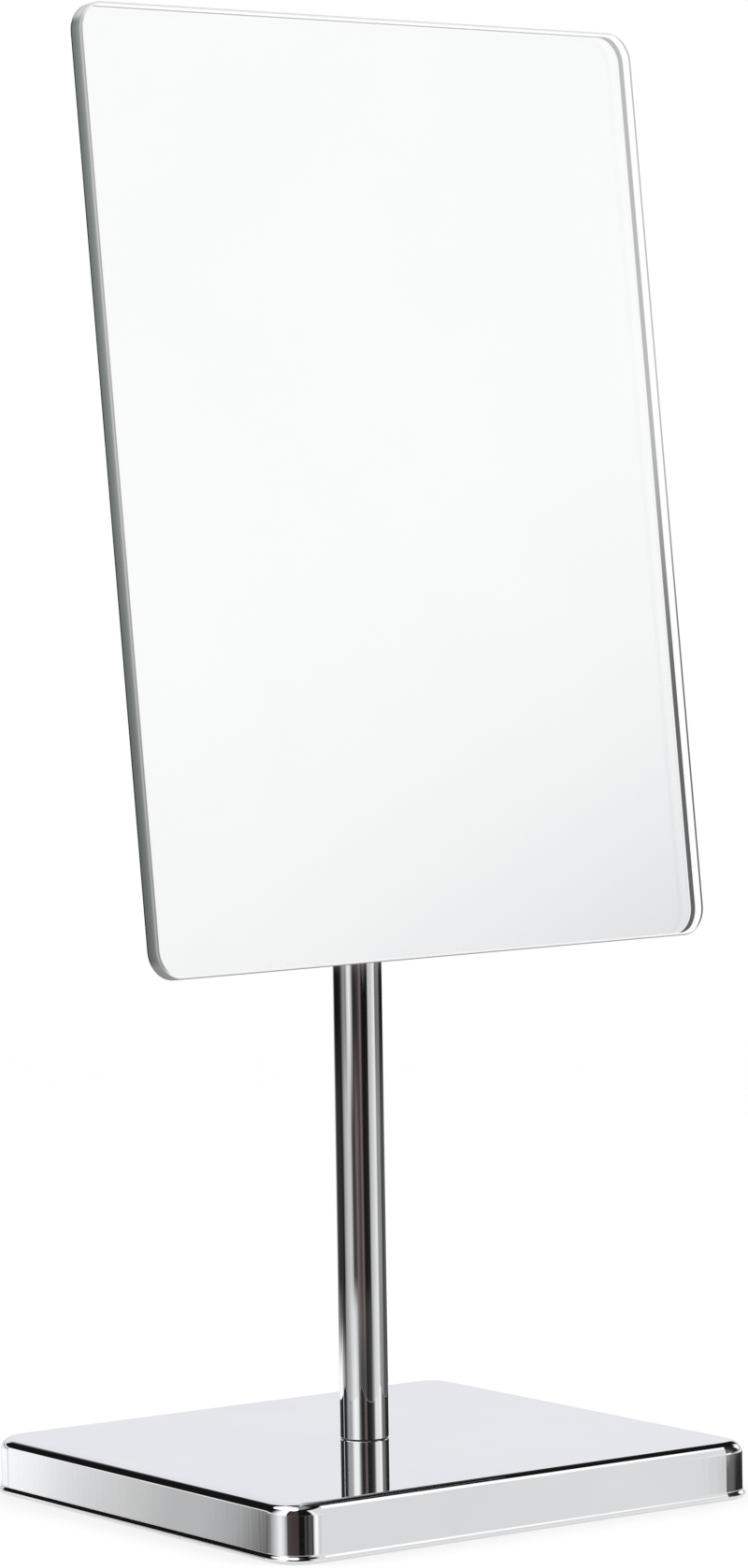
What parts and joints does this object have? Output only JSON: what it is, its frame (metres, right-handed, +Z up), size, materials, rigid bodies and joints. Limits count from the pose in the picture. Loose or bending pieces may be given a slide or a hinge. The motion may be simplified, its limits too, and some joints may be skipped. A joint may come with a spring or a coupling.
{
  "type": "countertop mirror",
  "caption": "Frameless rectangular glass mirror that tilts and swivels on a slim chrome pole with a flat, weighted, rounded rectangular base.",
  "frame": {"origin": "centre of the base's footprint, on the table", "axes": "+Z up, +X along the base's width, the mirror faces -Y"},
  "size_m": [0.1897, 0.14, 0.3815],
  "materials": {
    "chrome": "bright nickel-chrome plating, mirror polished",
    "cast_iron": "as cast, black paint",
    "black_plastic": "fine-grained moulded",
    "zinc_plated_steel": "bright zinc plating",
    "spring_steel": "oiled spring steel",
    "eva_foam": "closed-cell foam, matt",
    "brass": "turned",
    "nylon": "natural nylon",
    "foam_tape": "double-sided foam tape",
    "backing_film": "grey safety film, fine woven texture",
    "silvering": "silver coat",
    "clear_glass": "float glass with polished, arrised edges"
  },
  "bodies": {
    "stand": {"base_shell": "chrome", "base_weight": "cast_iron", "bottom_cover": "black_plastic", "cover_screws": "zinc_plated_steel", "non_slip_pad": "eva_foam", "pole_bolt": "zinc_plated_steel", "bolt_flat_washer": "zinc_plated_steel", "bolt_lock_washer": "spring_steel", "pole_seat_washer": "black_plastic", "pole_foot_plug": "zinc_plated_steel", "pole_tube": "chrome", "swivel_bush": "brass"},
    "head": {"swivel_head": "chrome", "swivel_thrust_washer": "nylon", "swivel_spring_washer": "spring_steel", "swivel_retaining_clip": "spring_steel"},
    "mirror": {"tilt_friction_washers": "nylon", "tilt_screw": "zinc_plated_steel", "tilt_disc_spring": "spring_steel", "tilt_dome_nut": "chrome", "hinge_bracket": "chrome", "bracket_screws": "zinc_plated_steel", "mounting_disc": "chrome", "adhesive_pad": "foam_tape", "safety_film": "backing_film", "silver_layer": "silvering", "mirror_glass": "clear_glass"}
  },
  "joints": [
    {"name": "swivel", "type": "hinge", "parent": "stand", "child": "head", "pos_m": [0, 0.0017, 0.2], "axis": [0, 0, 1], "continuous": true},
    {"name": "tilt", "type": "hinge", "parent": "head", "child": "mirror", "pos_m": [0, 0.0017, 0.25945], "axis": [-0.9949, -0.1011, 0], "range_deg": [-10, 84]}
  ]
}
